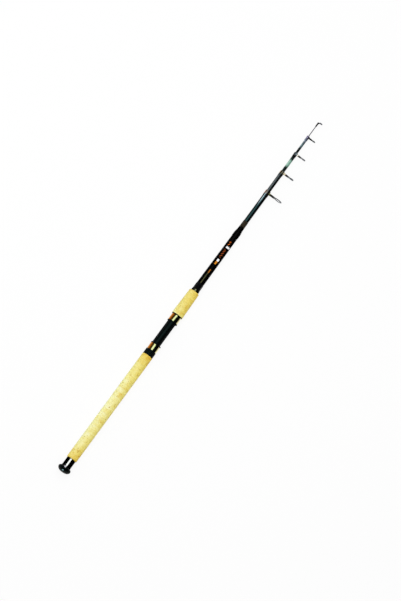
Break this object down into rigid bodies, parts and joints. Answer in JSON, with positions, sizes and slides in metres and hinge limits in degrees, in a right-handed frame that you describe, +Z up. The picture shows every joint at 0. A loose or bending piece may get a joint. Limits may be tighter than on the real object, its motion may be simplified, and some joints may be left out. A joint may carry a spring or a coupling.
{
  "type": "telescopic spinning rod",
  "caption": "Telescopic fishing rod pushed together, with cork grips, a screw-down reel seat with gold hoods, a domed butt cap and a ring guide on each sliding section.",
  "frame": {"origin": "centre of the butt cap's flat end face, on the rod's axis", "axes": "+X along the rod's axis from the butt to the tip, -Y towards the guides and the bed for the reel's foot, +Z up when the rod lies on its side"},
  "size_m": [1.085, 0.0601, 0.0342],
  "materials": {
    "gloss_black_lacquer": "high gloss",
    "satin_black_plastic": "satin",
    "cork": "sanded, unsealed",
    "gold_cover": "polished and gold plated",
    "bronze_thread": "lacquered thread",
    "blank_graphite": "ground and clear coated",
    "bronze_guide": "bronze chromed steel",
    "dark_guide": "dark chromed steel",
    "ring_ceramic": "polished",
    "black_rubber": "matt"
  },
  "bodies": {
    "handle": {"butt_blank": "gloss_black_lacquer", "butt_sleeve": "gloss_black_lacquer", "rear_grip": "cork", "reel_seat_barrel": "satin_black_plastic", "fixed_hood": "satin_black_plastic", "fixed_hood_cover": "gold_cover", "seat_front_ring": "satin_black_plastic", "fore_grip": "cork", "winding_check": "gloss_black_lacquer", "fore_winding": "gloss_black_lacquer", "nose_collar": "gloss_black_lacquer"},
    "cap_seal": {"cap_seal": "black_rubber"},
    "butt_cap": {"butt_cap": "satin_black_plastic", "cap_cushion": "black_rubber"},
    "sliding_hood": {"sliding_hood": "satin_black_plastic", "sliding_hood_cover": "gold_cover"},
    "lock_nut": {"lock_nut": "satin_black_plastic"},
    "section_2": {"section_2": "blank_graphite", "section_2_base_bush": "satin_black_plastic", "section_2_stop_band": "bronze_thread", "guide_1_frame": "bronze_guide", "guide_1_ring": "ring_ceramic", "guide_1_winding": "bronze_thread"},
    "section_3": {"section_3": "blank_graphite", "guide_2_frame": "bronze_guide", "guide_2_ring": "ring_ceramic", "guide_2_winding": "bronze_thread"},
    "section_4": {"section_4": "blank_graphite", "guide_3_frame": "dark_guide", "guide_3_ring": "ring_ceramic", "guide_3_winding": "bronze_thread"},
    "section_5": {"section_5": "blank_graphite", "guide_4_frame": "dark_guide", "guide_4_ring": "ring_ceramic", "guide_4_winding": "bronze_thread"},
    "tip": {"tip_rod": "blank_graphite", "tip_top_frame": "dark_guide", "tip_top_ring": "ring_ceramic", "tip_winding": "bronze_thread"}
  },
  "joints": [
    {"name": "section_2_slide", "type": "slide", "parent": "handle", "child": "section_2", "axis": [1, 0, 0], "range_m": [0, 0.6329]},
    {"name": "section_3_slide", "type": "slide", "parent": "section_2", "child": "section_3", "axis": [1, 0, 0], "range_m": [0, 0.7607]},
    {"name": "section_4_slide", "type": "slide", "parent": "section_3", "child": "section_4", "axis": [1, 0, 0], "range_m": [0, 0.8219]},
    {"name": "section_5_slide", "type": "slide", "parent": "section_4", "child": "section_5", "axis": [1, 0, 0], "range_m": [0, 0.8793]},
    {"name": "tip_slide", "type": "slide", "parent": "section_5", "child": "tip", "axis": [1, 0, 0], "range_m": [0, 0.9311]},
    {"name": "hood_slide", "type": "slide", "parent": "handle", "child": "sliding_hood", "axis": [1, 0, 0], "range_m": [0, 0.02]},
    {"name": "nut_spin", "type": "hinge", "parent": "sliding_hood", "child": "lock_nut", "pos_m": [0.3586, 0, 0], "axis": [1, 0, 0], "range_deg": [0, 3600]},
    {"name": "cap_slide", "type": "slide", "parent": "handle", "child": "cap_seal", "axis": [-1, 0, 0], "range_m": [0, 0.012]},
    {"name": "cap_spin", "type": "hinge", "parent": "cap_seal", "child": "butt_cap", "pos_m": [0.0145, 0, 0], "axis": [-1, 0, 0], "range_deg": [0, 2160]}
  ],
  "couplings": [
    {"joint": "hood_slide", "follows": "nut_spin", "m_per_rad": 0.00031831},
    {"joint": "cap_slide", "follows": "cap_spin", "m_per_rad": 0.00031831}
  ]
}
